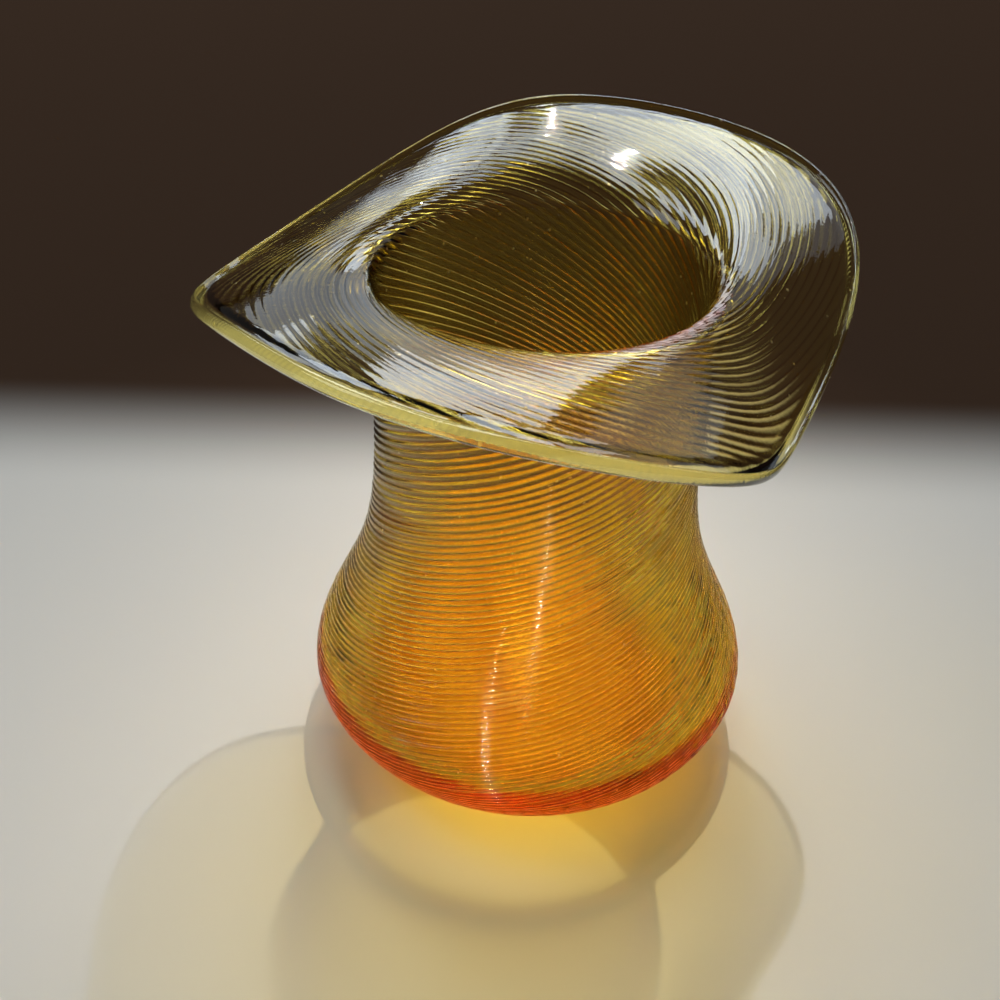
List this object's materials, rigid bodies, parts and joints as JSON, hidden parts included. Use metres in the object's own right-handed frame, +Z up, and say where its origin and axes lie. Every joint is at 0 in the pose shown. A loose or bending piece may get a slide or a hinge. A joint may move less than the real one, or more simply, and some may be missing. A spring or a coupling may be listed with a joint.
{
  "type": "glass hat vase",
  "caption": "Blown amber glass hat that stands on its crown as a vase, with twisted fine ribs, a bulged crown, a drawn neck and a folded brim.",
  "frame": {"origin": "centre of the ground flat that the hat rests on, on the axis of the crown and neck", "axes": "+Z up along the axis from the resting flat to the brim, +X towards the front of the brim, the end that is folded down most, +Y towards its left side"},
  "size_m": [0.1276, 0.1454, 0.135],
  "materials": {
    "amber_glass": "fire-polished, transparent amber"
  },
  "bodies": {
    "root": {"base": "amber_glass", "crown": "amber_glass", "neck": "amber_glass", "brim": "amber_glass", "lip": "amber_glass"}
  },
  "joints": []
}
